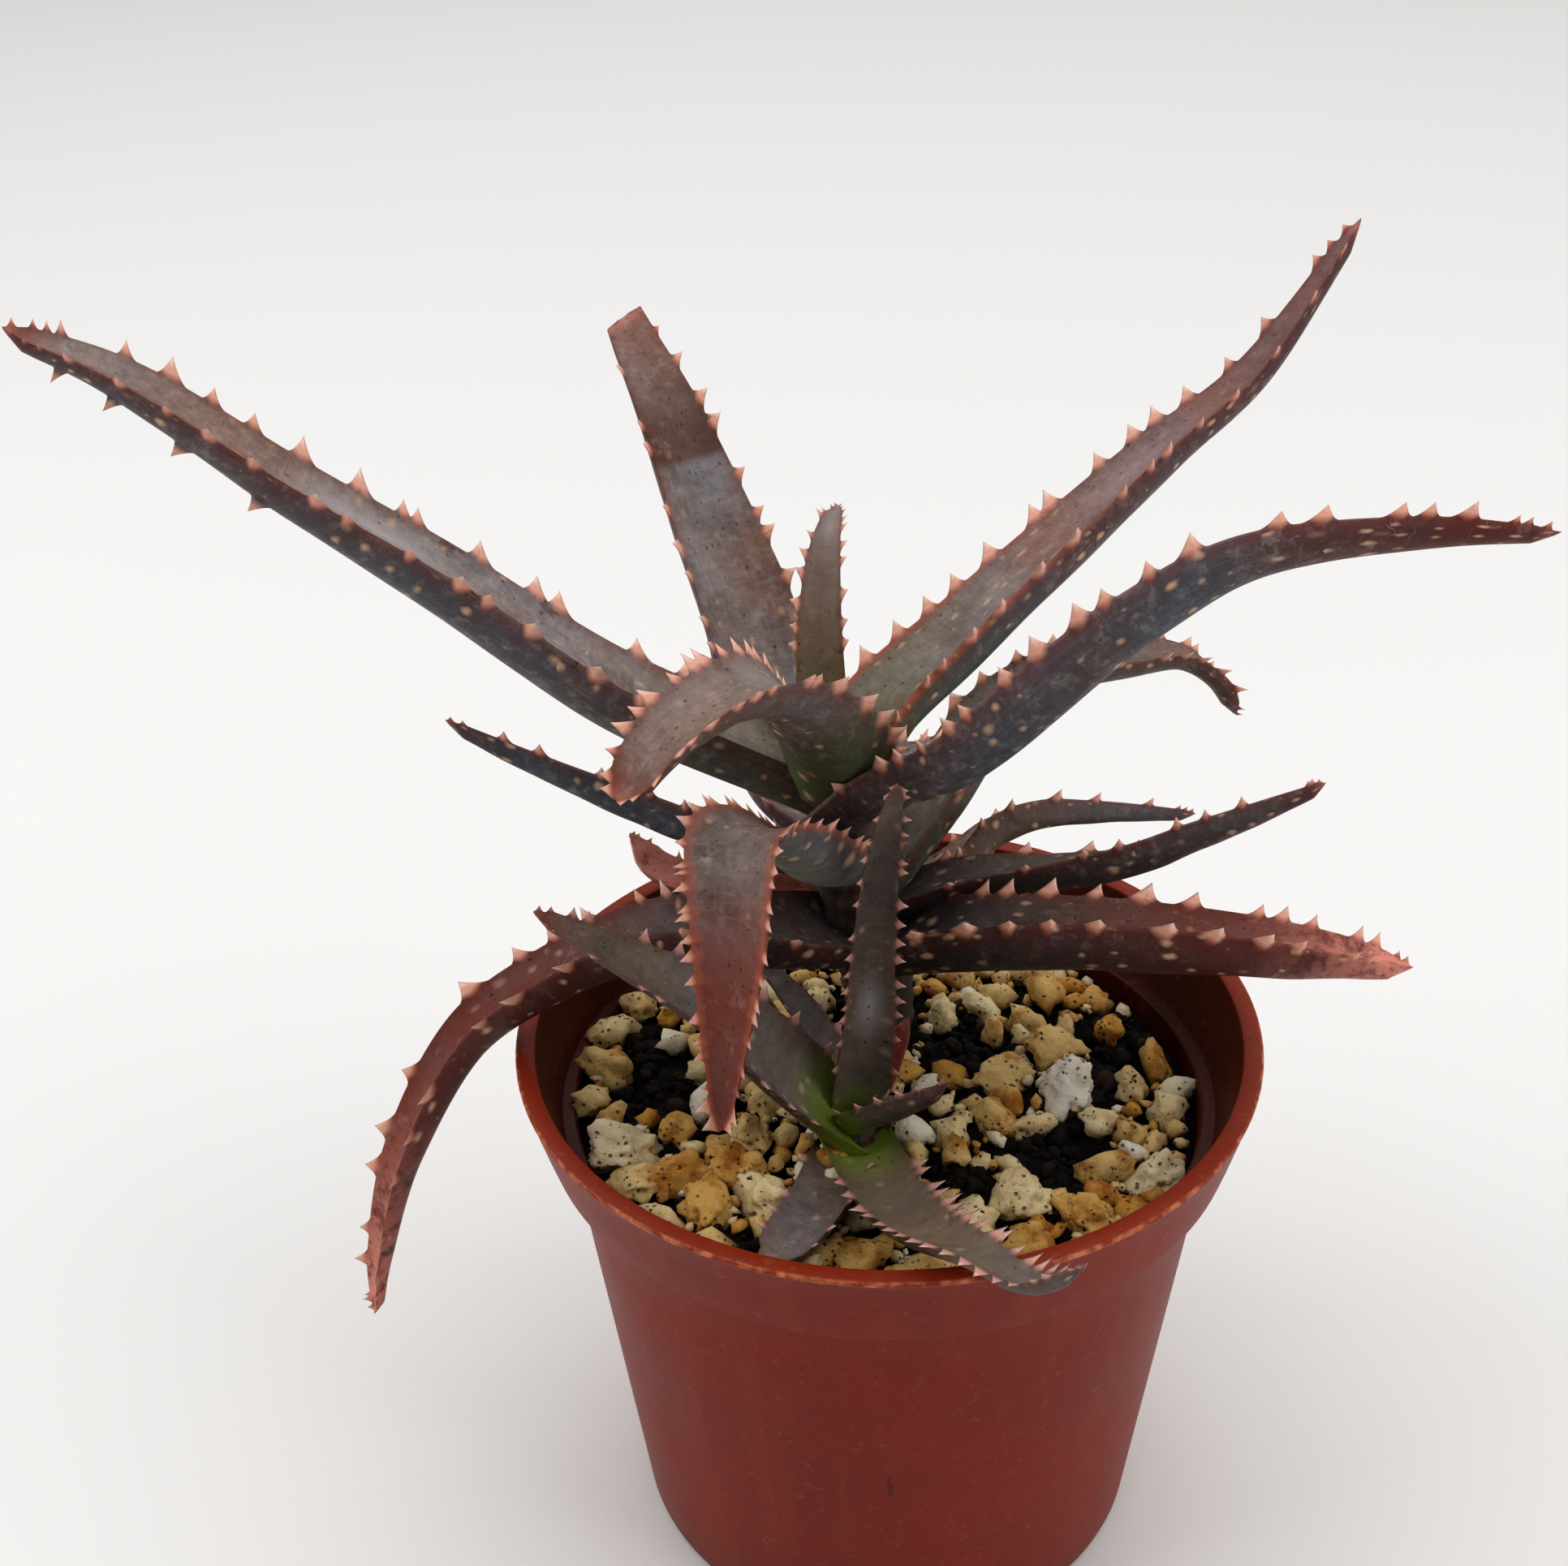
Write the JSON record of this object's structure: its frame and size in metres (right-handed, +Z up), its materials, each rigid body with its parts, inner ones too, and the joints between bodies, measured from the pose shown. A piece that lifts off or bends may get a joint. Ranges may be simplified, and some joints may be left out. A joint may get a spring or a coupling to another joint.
{
  "type": "potted aloe",
  "caption": "Trunked aloe with long arching toothed leaves and a small offset rosette, growing in pumice and potting mix in a round tapered pot.",
  "frame": {"origin": "middle of the pot's flat underside, on the ground", "axes": "+Z up, -Y towards the side the picture was taken from, +X to its right"},
  "size_m": [0.1462, 0.1087, 0.1535],
  "materials": {
    "pot": "satin moulded polypropylene",
    "potting_mix": "loose pumice and dark peat",
    "trunk": "dry brown leaf sheaths",
    "leaf": "smooth waxy succulent skin",
    "offset_leaf": "smooth waxy succulent skin",
    "dry_leaf": "shrivelled dry leaf"
  },
  "bodies": {
    "root": {"pot": "pot", "potting_mix": "potting_mix", "trunk": "trunk", "offset_trunk": "trunk", "leaf_heart": "leaf", "leaf_front_arching": "leaf", "leaf_upper_left": "leaf", "leaf_upper_right": "leaf", "leaf_back": "leaf", "leaf_right_arching": "leaf", "leaf_left_thin": "leaf", "leaf_front_hanging": "leaf", "leaf_behind_right": "leaf", "leaf_lower_left": "leaf", "leaf_lower_right": "leaf", "leaf_right_thin": "leaf", "leaf_right_low": "leaf", "offset_leaf_young": "offset_leaf", "offset_leaf_tall": "offset_leaf", "offset_leaf_left": "offset_leaf", "offset_leaf_right": "offset_leaf", "offset_leaf_short": "offset_leaf", "offset_leaf_back": "offset_leaf", "leaf_dry": "dry_leaf", "dry_scale": "dry_leaf"}
  },
  "joints": []
}
